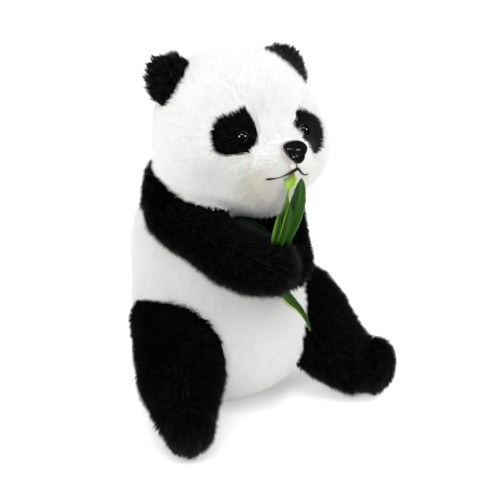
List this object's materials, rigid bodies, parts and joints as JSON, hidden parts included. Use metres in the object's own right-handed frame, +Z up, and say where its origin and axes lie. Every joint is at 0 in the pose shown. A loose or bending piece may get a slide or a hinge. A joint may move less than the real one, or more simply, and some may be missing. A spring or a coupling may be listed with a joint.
{
  "type": "plush panda toy",
  "caption": "Plush giant panda toy that sits upright, forepaws together in front, holding a bunch of fabric bamboo leaves to its mouth.",
  "frame": {"origin": "on the floor, under the middle of the trunk, on the seat's flat", "axes": "+Z up, -Y the way the face looks, +X towards the toy's own left"},
  "size_m": [0.209, 0.1878, 0.2759],
  "materials": {
    "white_plush": "short dense pile, off-white",
    "black_plush": "short dense pile, near black",
    "muzzle_plush": "very short pile, cream white",
    "eye_plastic": "glossy, black brown",
    "nose_plastic": "glossy, black",
    "leaf_cloth": "printed satin, green with darker veins",
    "lime_cloth": "printed satin, yellow green"
  },
  "bodies": {
    "root": {"head": "white_plush", "trunk": "white_plush", "tail": "white_plush", "shoulders": "black_plush", "ear_left": "black_plush", "ear_right": "black_plush", "eye_patch_left": "black_plush", "eye_patch_right": "black_plush", "arm_left": "black_plush", "arm_right": "black_plush", "leg_left": "black_plush", "leg_right": "black_plush", "foot_left": "black_plush", "foot_right": "black_plush", "muzzle": "muzzle_plush", "eye_left": "eye_plastic", "eye_right": "eye_plastic", "nose": "nose_plastic", "leaf_lime": "lime_cloth", "leaf_front": "leaf_cloth", "leaf_folded": "leaf_cloth", "leaf_narrow": "leaf_cloth", "leaf_low": "leaf_cloth", "leaf_dark": "leaf_cloth"}
  },
  "joints": []
}
